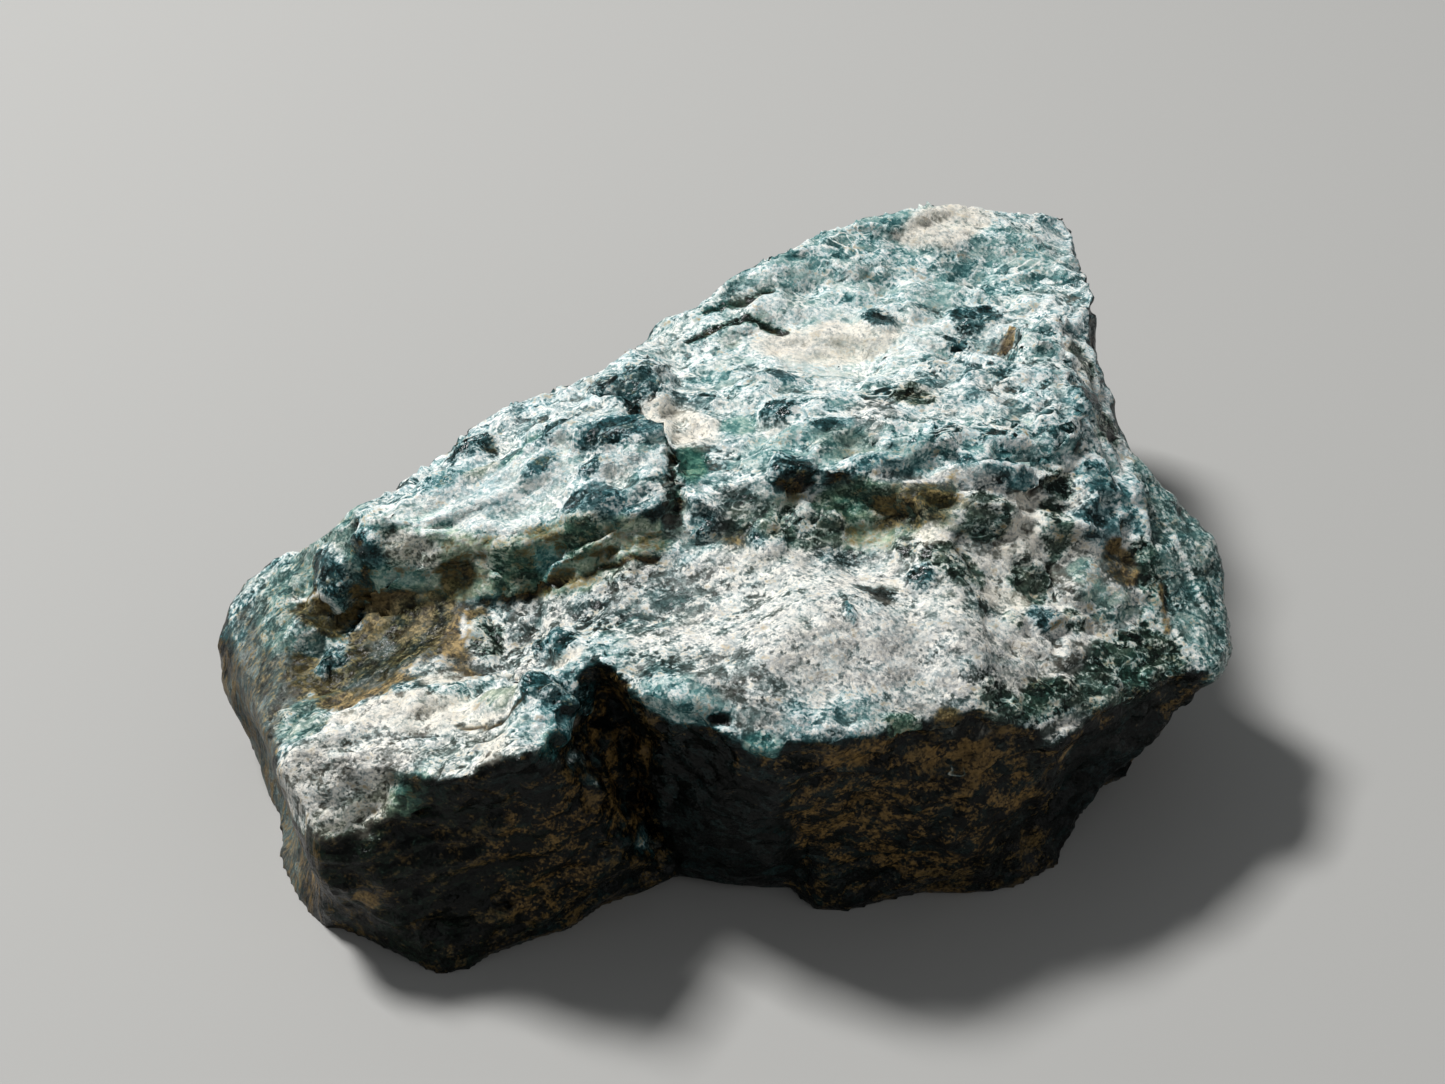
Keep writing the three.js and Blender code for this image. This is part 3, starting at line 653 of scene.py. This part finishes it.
# %% Grooves and grit
ROLL = 0.08  # this and the next four are depths in mm
GRIT = 0.045
FIBRE_DEPTH = 0.035
RIM_GROOVE = 0.07
CREST_GROOVE = 0.045
LAST_SMOOTHING = 0.25
fibres = smooth_noise(points * (3.4, 3.4, 0.4), 31) + 0.5 * smooth_noise(points * (7.0, 7.0, 0.8), 32)
rim_grooves = smooth_noise(turned(points, CLEAVAGE["rim"], (2.2, 0.3, 0.4)), 33)
crest_grooves = smooth_noise(turned(points, CLEAVAGE["left"], (2.2, 0.26, 0.3)), 34)
relief = ROLL * rolling(points * 0.8, 41) + GRIT * rolling(points * 3.2, 45)
relief += (FIBRE_DEPTH * end_face * fibres + RIM_GROOVE * rim * rim_grooves
           + CREST_GROOVE * crest_left * crest_grooves)
for finish, weight in here_is:
    relief += weight * FINISHES[finish].get("raised", 0)
moved = moved + normals * (relief * off_floor)[:, None]
for _ in range(2):
    moved = moved + LAST_SMOOTHING * (around(moved) - moved) * off_floor[:, None]
moved = np.clip(moved, np.array(cad_box[0]) / MM, np.array(cad_box[1]) / MM)
place(skin, moved)
print("moved by up to", np.linalg.norm(moved - points, axis=1).max().round(2), "mm")

# %% [markdown]
# ## What covers the mineral
#
# Rules give each weight its first value: the top is frosted, the walls are stained and painted dark as
# shade, dips hold powder, and every chip has its own tone. Then the places lay their finishes over that.
# Lumps of clean glass get a thin white outline, because frost gathers where a lump meets its neighbours.
# Last come rules
# that no place may overrule: the steep front of the left ledge is bare and painted dark as shade, small
# faces differ, convex edges are bruised white, and small hollows are painted darker as shade. Blender keeps
# the weights on the points as attributes, which the material reads.

# %% The lie of the surface
WIDER = 8
_, relief_normals = read(skin)
up = around(around(relief_normals[:, 2]))
hump = ((moved - around(moved)) * relief_normals).sum(axis=1)
wide_hump = hump
for _ in range(WIDER):
    wide_hump = around(wide_hump)
edge = ease(hump, 0.002, 0.016)
hollow = ease(hump, -0.002, -0.014)
dip = ease(wide_hump, 0.0, -0.006)
# top is 1 on the stone's top and 0 on its walls, whose darker tone is painted shade. The left ledge rounds
# over to the front, and there a slope counts as wall, and is painted dark, sooner. Walls that face the back
# are weathered too, so they count as part top.
facing_front = around(around(-relief_normals[:, 1])) * ease(y, -7.5, -9.0) * ease(x, -2.5, -3.5)
top = ease(up - 0.35 * ease(facing_front, 0.2, 0.6) * ease(z, 5.2, 5.9), 0.3, 0.62) * ease(z, 0.8, 2.0)
facing_away = around(around(relief_normals[:, 1] + 0.6 * relief_normals[:, 0] * ease(y, -5.0, -2.0)))
top = np.maximum(top, 0.6 * ease(facing_away, 0.0, 0.5) * ease(z, 0.2, 1.2))
warm = ease(x, 2.0, 6.0) * ease(y, -1.0, -4.0) * (1 - rim)
print("top:", round(float(top.mean()), 2), "of the points")


# %% Coverings by rule
def own(size, seed):
    """A random number from -0.5 to 0.5 for each cell of that size, given to its points."""
    cell = cell_of[size]
    return np.random.default_rng(seed).uniform(-0.5, 0.5, cell.max() + 1)[cell]


core = ease(inner_of["chip"], 0.05, 0.5)
glassy = ease(own("chip", 20), 0.1, 0.22) * calm * top  # about a third of the chips are clean glass
coats = {
    "frost": 0.47 * top - 0.8 * (1 - top) + top * 0.2 * own("block", 12),
    "powder": (0.25 + 0.2 * warm) * top * dip,
    "stain": 0.25 * (1 - top),
    "ochre": 0.45 + 0.3 * rolling(points * 0.7, 61),
    # the walls take a darker tone here: painted shade
    "tone": 0.44 - 0.42 * (1 - top) + 0.26 * own("chip", 15) * top,
    "blue": 0.75 - 0.7 * warm,
    "green": 0.2 + 0.2 * rolling(points * 0.5, 63),
    "gloss": 0.6 + 0.5 * own("chip", 16),
    "lumpy": calm * top * (1 - 0.7 * glassy),
}
print(len(coats), "weights on", len(top), "points")

# %% Coverings by place, and the last rules
OUTLINED = 0.6
# the steep front of the left ledge: bare of frost and powder, and near-black as painted shade
LEDGE_FRONT_PAINTED_SHADE = {"frost": -0.8, "powder": 0.0, "tone": 0.02, "lumpy": 0.0}
for finish, weight in here_is:
    recipe = FINISHES[finish]
    for name in coats.keys() & recipe.keys():
        coats[name] += weight * (recipe[name] - coats[name])
    if recipe.get("raised", 0) > 0:
        coats["frost"] += OUTLINED * 4 * weight * (1 - weight) * top
ledge_front_painted_shade = ease(facing_front, 0.3, 0.65) * ease(x, -8.0, -6.5)
for name, bare in LEDGE_FRONT_PAINTED_SHADE.items():
    coats[name] += ledge_front_painted_shade * (bare - coats[name])
# the - 0.06 * hollow term darkens small hollows: painted shade
coats["tone"] += (0.1 * own("sliver", 17) + 0.16 * own("chip", 18)) * (0.3 + 0.7 * top) - 0.06 * hollow
coats["frost"] += 0.15 * own("sliver", 19) * top
coats["frost"] += coats["lumpy"] * (0.1 + 0.2 * (0.4 - core))
coats["frost"] += glassy * np.clip(coats["frost"], 0, 0.45) * (0.3 - core)
coats["tone"] += 0.06 * glassy
# convex edges are bruised white; the frost taken from small hollows darkens them as painted shade
coats["frost"] += (0.22 * edge - 0.2 * hollow) * top
coats["stain"] += 0.4 * (1 - top) * rolling(points * 1.1, 65)
coats["steep"] = 1 - top
coats["streak"] = np.where(side == "left", top, 0) * (1 - patch((-5.0, -6.8, 6.0), (5.5, 3.2, 2.0)))
coats |= {"rim": rim, "fibre": end_face, "knob": knob_slope, "speckled": speckled * top}
for name, weight in coats.items():
    skin.attributes.new(name, "FLOAT", "POINT").data.foreach_set("value", np.clip(weight, -1.0, 1.2))
print({name: round(float(weight.mean()), 2) for name, weight in coats.items()})

# %% The piece
place(skin, moved * MM)
skin.shade_smooth()
crystal = bpy.data.objects.new("crystal_surface", skin)
bpy.context.scene.collection.objects.link(crystal)
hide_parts("grandidierite_crystal")
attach(crystal, "root")
print(crystal.name, "has", len(skin.polygons), "faces")

# %% [markdown]
# ## Colours and nodes
#
# Colours are picked as sRGB hex values, as any paint program shows them, and turned to the linear values
# that the renderer works in. One helper adds a node, sets it and links it, so that a material reads from
# top to bottom.

# %% Helpers for materials
def linear(hex_colour):
    """A colour such as #2f6f78 as linear red, green, blue and alpha."""
    srgb = [int(hex_colour[i:i + 2], 16) / 255 for i in (1, 3, 5)]
    return [c / 12.92 if c <= 0.04045 else ((c + 0.055) / 1.055) ** 2.4 for c in srgb] + [1.0]


def add(tree, kind, output, **choices):
    """Adds a node. A choice named for an input sets or links it, with _ for a space. Others are settings."""
    new = tree.nodes.new("ShaderNode" + kind)
    inputs = {socket.identifier.replace(" ", "_"): socket for socket in new.inputs}
    for name, value in choices.items():
        if name not in inputs:
            setattr(new, name, value)
        elif isinstance(value, bpy.types.NodeSocket):
            tree.links.new(value, inputs[name])
        else:
            inputs[name].default_value = value
    return next(socket for socket in new.outputs if socket.identifier == output) if output else new


def empty_material(name):
    """A material with no nodes yet, and add() for its own tree."""
    material = bpy.data.materials.new(name)
    material.use_nodes = True
    material.node_tree.nodes.clear()
    return material, partial(add, material.node_tree)


# %% [markdown]
# The material is the mineral itself, grandidierite, broken and not polished. Its patterns are made in the
# shader, because the finest are smaller than the skin's squares. Each is a noise or a set of cells, and most
# are stretched along the way that the stone splits there. Real grains are finer than 0.06 mm, which is about
# as fine as the render shows.

# %% Patterns in the stone
GRAIN = 0.06
CRUMB = GRAIN / 0.55
FLECKS = {  # length, width and height in mm, and the bearing of the length
    "grit": ((0.2, 0.11, 0.11), CLEAVAGE["middle"] - 30),
    "pebbles": ((0.5, 0.3, 0.3), 10),
    "clumps": ((0.8, 0.48, 0.48), 0),
    "tints": ((1.1, 0.45, 0.45), CLEAVAGE["left"]),
    "hairlines": ((1.6, 0.07, 0.07), -38),
    "strands": ((1.6, 0.07, 0.07), CLEAVAGE["left"] + 8),
    # each of these four lies where the weight of the same name says
    "streak": ((0.9, 0.11, 0.11), CLEAVAGE["left"]),
    "knob": ((1.1, 0.1, 0.14), 57),
    "rim": ((1.4, 0.11, 0.15), CLEAVAGE["rim"]),
    "fibre": ((0.12, 0.12, 1.4), 0),
}

grandidierite, node = empty_material("grandidierite_frosted_and_iron_stained")
coat = {name: node("Attribute", "Fac", attribute_name=name) for name in coats}
at = node("TexCoord", "Object")
mm = node("VectorMath", "Vector", operation="SCALE", Vector=at, Scale=1 / MM)


def lengthwise(size, degrees):
    """Coordinates along a bearing, in lengths and widths of the pattern that will lie there."""
    line = node("VectorRotate", "Vector", rotation_type="Z_AXIS", Vector=mm, Angle=-math.radians(degrees))
    return node("VectorMath", "Vector", operation="DIVIDE", Vector=line, Vector_001=size)


flecks = {}
for name, (size, degrees) in FLECKS.items():
    noise = node("TexNoise", "Fac", Vector=lengthwise(size, degrees), Scale=1.0, Detail=3.0, Roughness=0.6)
    flecks[name] = node("MapRange", "Result", Value=noise, From_Min=0.3, From_Max=0.7)
grains = node("TexVoronoi", None, Vector=mm, Scale=1 / GRAIN)
grain_chance = node("SeparateColor", "Red", Color=grains.outputs["Color"])
crumbs = node("TexVoronoi", "Color", Vector=mm, Scale=1 / CRUMB)
crumb_chance = node("SeparateColor", "Green", Color=crumbs)
print("grains of", GRAIN, "mm and crumbs of", round(CRUMB, 2), "mm")

# %% [markdown]
# Broken grandidierite shows small flat facets, each about half a millimetre long. A facet is bright or dark
# as a whole, and its edges are bruised to thin white lines.

# %% Facets
FACET = (0.5, 0.3, 0.3)
FACET_BEARING = 15
facet_grid = lengthwise(FACET, FACET_BEARING)
facets = node("TexVoronoi", None, Vector=facet_grid, Scale=1.0)
facet_chance = node("SeparateColor", None, Color=facets.outputs["Color"])
rib = node("TexVoronoi", "Distance", feature="DISTANCE_TO_EDGE", Vector=facet_grid, Scale=1.0)
line = node("MapRange", "Result", Value=rib, From_Min=0.02, From_Max=0.12, To_Min=0.45, To_Max=0.0)
line = node("Math", "Value", operation="MULTIPLY", Value=line, Value_001=flecks["clumps"])
across = node("VectorMath", "Vector", operation="SUBTRACT", Vector=facet_grid,
              Vector_001=facets.outputs["Position"])
tilt = node("VectorMath", "Vector", operation="SUBTRACT", Vector=facets.outputs["Color"],
            Vector_001=(0.5, 0.5, 0.5))
plane = node("VectorMath", "Value", operation="DOT_PRODUCT", Vector=across, Vector_001=tilt)
print("facets of", FACET, "mm")

# %% [markdown]
# Healed cracks show as thin white lines. They curve around lens-shaped bodies, as the level lines of a
# stretched noise do. So the noise is folded back and forth, and a line is drawn at each fold.

# %% Healed cracks
LENS = (2.2, 0.6, 0.5)
LUMP = (0.9, 0.7, 0.6)
LEVEL = 0.17  # the step in the noise from one line to the next
LINE = 0.024  # how far from its fold a line fades out


def folds(size, degrees):
    """Thin lines, 1 on the line and 0 beside it, that curve around bodies of this size."""
    body = node("TexNoise", "Fac", Vector=lengthwise(size, degrees), Scale=1.0, Detail=1.0, Roughness=0.4)
    fold = node("Math", "Value", operation="PINGPONG", Value=body, Value_001=LEVEL)
    return node("MapRange", "Result", Value=fold, From_Min=0.0, From_Max=LINE, To_Min=1.0, To_Max=0.0)


healed = node("Mix", "Result_Float", Factor_Float=coat["streak"],
              A_Float=folds(LUMP, CLEAVAGE["middle"]), B_Float=folds(LENS, CLEAVAGE["left"]))
healed = node("Math", "Value", operation="MULTIPLY", Value=healed, Value_001=coat["lumpy"])
faint = node("MapRange", "Result", Value=flecks["clumps"], To_Min=-0.2, To_Max=1.8)
healed = node("Math", "Value", operation="MULTIPLY", Value=healed, Value_001=faint, use_clamp=True)
print("healed cracks around bodies of", LENS, "and", LUMP, "mm")

# %% [markdown]
# Frost is mineral crushed to white grains. Painting it as a plain mask would give soft clouds. Instead the
# frost weight and the patterns are added up, and a spot is white where the sum passes one. So more frost
# means more white grains and fewer dark ones, and between them the clear mineral still shows.

# %% The grain of the frost
COARSE_SHARE = 0.42
along = node("Math", "Value", operation="MULTIPLY", Value=coat["fibre"], Value_001=0.6)
fine = grain_chance
for share, pattern in ((0.3, crumb_chance), (0.4, flecks["grit"]), (along, flecks["fibre"])):
    fine = node("Mix", "Result_Float", Factor_Float=share, A_Float=fine, B_Float=pattern)
coarse = flecks["pebbles"]
for name in ("streak", "knob", "rim", "fibre"):
    coarse = node("Mix", "Result_Float", Factor_Float=coat[name], A_Float=coarse, B_Float=flecks[name])
salt = node("Mix", "Result_Float", Factor_Float=COARSE_SHARE, A_Float=fine, B_Float=coarse)
salt = node("MapRange", "Result", Value=salt, From_Min=0.15, From_Max=0.85)
print("coarse share of the grain:", COARSE_SHARE)

# %% Frost
SOFTNESS = 0.95
uneven = node("MapRange", "Result", Value=flecks["clumps"], To_Min=-0.16, To_Max=0.16)
speckle = node("MapRange", "Result", Value=flecks["pebbles"], To_Min=-0.4, To_Max=0.4)
# where lumpy is high, as on the ridge's silver-looking glass lumps, these white facets are painted glints
by_facet = node("MapRange", "Result", Value=facet_chance.outputs["Red"], To_Min=-0.42, To_Max=0.42)
by_facet = node("Math", "Value", operation="ADD", Value=by_facet, Value_001=line)
scratch = node("Math", "Value", operation="MAXIMUM", Value=flecks["hairlines"], Value_001=flecks["strands"])
scratch = node("MapRange", "Result", Value=scratch, From_Min=0.84, From_Max=1.0, To_Max=0.6)
dark_grains = node("MapRange", "Result", Value=crumb_chance, From_Max=0.12, To_Min=-0.3, To_Max=0.0)
local = [node("Math", "Value", operation="MULTIPLY", Value=pattern, Value_001=coat[name])
         for pattern, name in ((speckle, "speckled"), (by_facet, "lumpy"), (scratch, "lumpy"))]
amount = coat["frost"]
for part in (uneven, *local, dark_grains, salt):
    amount = node("Math", "Value", operation="ADD", Value=amount, Value_001=part)
frosted = node("MapRange", "Result", Value=amount, From_Min=1 - SOFTNESS / 2, From_Max=1 + SOFTNESS / 2,
               interpolation_type="SMOOTHSTEP")
frosted = node("Math", "Value", operation="MAXIMUM", Value=frosted, Value_001=healed)
print("frost softens over", SOFTNESS)

# %% [markdown]
# One number, lightness, runs from clear dark mineral to crushed white. Two ramps give it colour: a clear
# one, teal in its middle, and a dusty one, grey in its middle. The blue weight mixes the two.

# %% Colours of the mineral
CLEAR = {0.0: "#040a08", 0.2: "#12292b", 0.4: "#2d575e", 0.55: "#5f8b91", 0.75: "#b0c6c9", 1.0: "#f3f5f2"}
DUSTY = {0.0: "#040504", 0.2: "#1c2322", 0.4: "#4b5352", 0.55: "#7e8587", 0.75: "#babbba", 1.0: "#f6f2e9"}
deeper = node("MapRange", "Result", Value=facet_chance.outputs["Green"], To_Min=-0.12, To_Max=0.14)
shade = node("MapRange", "Result", Value=fine, From_Min=0.25, From_Max=0.75, To_Min=-0.1, To_Max=0.1)
tone = coat["tone"]
for part in (deeper, shade):
    tone = node("Math", "Value", operation="ADD", Value=tone, Value_001=part)
whiteness = node("MapRange", "Result", Value=fine, From_Min=0.22, From_Max=0.74, To_Min=0.62, To_Max=1.02)
bright_line = node("Math", "Value", operation="MULTIPLY", Value=healed, Value_001=0.25)
whiteness = node("Math", "Value", operation="ADD", Value=whiteness, Value_001=bright_line)
lightness = node("Mix", "Result_Float", Factor_Float=frosted, A_Float=tone, B_Float=whiteness)
ramps = []
for colours in (CLEAR, DUSTY):
    ramp = node("ValToRGB", None, Fac=lightness)
    stops = ramp.color_ramp.elements
    while len(stops) < len(colours):
        stops.new(0.5)
    for stop, (position, hex_colour) in zip(stops, colours.items()):
        stop.position = position
        stop.color = linear(hex_colour)
    ramps.append(ramp.outputs["Color"])
tint = node("MapRange", "Result", Value=flecks["tints"], To_Min=-0.35, To_Max=0.35)
tint = node("Math", "Value", operation="ADD", Value=coat["blue"], Value_001=tint, use_clamp=True)
colour = node("Mix", "Result_Color", data_type="RGBA", Factor_Float=tint, A_Color=ramps[1], B_Color=ramps[0])
clean = node("MapRange", "Result", Value=frosted, To_Min=1.0, To_Max=0.15)
greener = node("Math", "Value", operation="MULTIPLY", Value=clean, Value_001=coat["green"])
print("ramps:", len(CLEAR), "and", len(DUSTY), "stops")

# %% [markdown]
# Iron works twice. As a thin film it filters the colour below, and where it is thick it lies on top as
# rust. It is broken up by the same grains as the frost, so that it sits between them. The layers are put on
# in order: the green of clean mineral, the film, the rust, and the dust.

# %% Iron and dust
BOTTLE_GREEN = "#d5e4a8"
FILM = ("#a8a07b", "#c6a974")  # FILM and RUST run from olive to ochre
RUST = ("#36331f", "#7d6237")
DUST = "#ece2cf"
film = flecks["pebbles"]
for share, pattern in ((0.6, fine), (0.36, flecks["clumps"]), (along, flecks["fibre"])):
    film = node("Mix", "Result_Float", Factor_Float=share, A_Float=film, B_Float=pattern)
film = node("MapRange", "Result", Value=film, From_Min=0.1, From_Max=0.9, To_Min=-0.9, To_Max=0.9)
broken_up = node("MapRange", "Result", Value=coat["steep"], To_Min=1.0, To_Max=1.4)
film = node("Math", "Value", operation="MULTIPLY", Value=film, Value_001=broken_up)
film = node("Math", "Value", operation="ADD", Value=film, Value_001=coat["stain"])
film = node("MapRange", "Result", Value=film, From_Min=0.3, From_Max=0.9)
filtered, rust = (node("Mix", "Result_Color", data_type="RGBA", Factor_Float=coat["ochre"],
                       A_Color=linear(olive), B_Color=linear(ochre)) for olive, ochre in (FILM, RUST))
grainy = node("MapRange", "Result", Value=fine, From_Min=0.25, From_Max=0.75, To_Min=0.5, To_Max=1.35)
rust = node("VectorMath", "Vector", operation="SCALE", Vector=rust, Scale=grainy)
thick = node("MapRange", "Result", Value=coat["steep"], To_Min=0.35, To_Max=0.8)
thick = node("Math", "Value", operation="MULTIPLY", Value=film, Value_001=thick)
dust = node("MapRange", "Result", Value=salt, To_Min=0.1, To_Max=1.2)
dust = node("Math", "Value", operation="MULTIPLY", Value=dust, Value_001=coat["powder"], use_clamp=True)
for blend, share, layer in (("MULTIPLY", greener, linear(BOTTLE_GREEN)), ("MULTIPLY", film, filtered),
                            ("MIX", thick, rust), ("MIX", dust, linear(DUST))):
    colour = node("Mix", "Result_Color", data_type="RGBA", blend_type=blend, Factor_Float=share,
                  A_Color=colour, B_Color=layer)
print("ochre film", FILM[1], "and rust", RUST[1])

# %% [markdown]
# Clear mineral has a glassy shine and crushed mineral is dull, so roughness follows the frost. The facets
# tilt the light by one bump and the grains by a second. A small random push on the normal then lets single
# grains catch the light.

# %% Surface
SPARKLE = 0.35
FACET_RISE = 0.16
GRAIN_RISE = 0.03
CRUSHED_ROUGHNESS = 0.65
faceted = node("Bump", "Normal", Strength=0.7, Distance=FACET_RISE * MM, Height=plane)
gritty = node("Bump", "Normal", Strength=0.7, Distance=GRAIN_RISE * MM, Height=salt, Normal=faceted)
jitter = node("VectorMath", "Vector", operation="MULTIPLY_ADD", Vector=grains.outputs["Color"],
              Vector_001=[SPARKLE] * 3, Vector_002=[-SPARKLE / 2] * 3)
sparkling = node("VectorMath", "Vector", operation="ADD", Vector=gritty, Vector_001=jitter)
sparkling = node("VectorMath", "Vector", operation="NORMALIZE", Vector=sparkling)
dull = node("MapRange", "Result", Value=coat["gloss"], To_Min=0.5, To_Max=0.12)
roughness = node("Mix", "Result_Float", Factor_Float=frosted, A_Float=dull, B_Float=CRUSHED_ROUGHNESS)
surface = node("BsdfPrincipled", "BSDF", Base_Color=colour, Roughness=roughness, IOR=1.6,
               Specular_IOR_Level=0.12, Normal=sparkling)
node("OutputMaterial", None, Surface=surface)
skin.materials.clear()
skin.materials.append(grandidierite)
print(grandidierite.name, "has", len(grandidierite.node_tree.nodes), "nodes")

# %% [markdown]
# ## Floor and light
#
# A plain pale floor and soft light. The strongest light stands behind the stone on the left, so the top is
# bright and the broken front lies in its own shade, where a wide weak light keeps it readable.

# %% Floor
FLOOR_SIDE = 3.0
floor_paint, board_node = empty_material("matt_pale_board")
board = board_node("BsdfPrincipled", "BSDF", Base_Color=linear("#a8a7a4"), Roughness=0.8)
board_node("OutputMaterial", None, Surface=board)

bpy.ops.mesh.primitive_plane_add(size=FLOOR_SIDE)
floor = bpy.context.object
floor.name = "floor"
floor.data.materials.append(floor_paint)
print("floor:", FLOOR_SIDE, "m")

# %% Lights
LIGHTS = {  # where it stands and the length of its side in mm, and its power in watts
    "key": ((-110, 75, 215), 50, 0.79),
    "fill": ((160, -170, 120), 220, 0.07),
}
ROOM_GLOW = 0.2
for name, (stand, side_length, watts) in LIGHTS.items():
    lamp = bpy.data.objects.new(name, bpy.data.lights.new(name, "AREA"))
    lamp.data.size = side_length * MM
    lamp.data.energy = watts
    lamp.location = Vector(stand) * MM
    lamp.rotation_euler = (Vector(stand) - Vector(AIM)).to_track_quat("Z", "Y").to_euler()
    bpy.context.scene.collection.objects.link(lamp)

world = bpy.data.worlds.new("soft_room")
world.use_nodes = True
room = world.node_tree.nodes["Background"].inputs
room["Color"].default_value = linear("#e9eef2")
room["Strength"].default_value = ROOM_GLOW
bpy.context.scene.world = world
bpy.context.scene.view_settings.view_transform = "Standard"
print("lights:", ", ".join(LIGHTS))
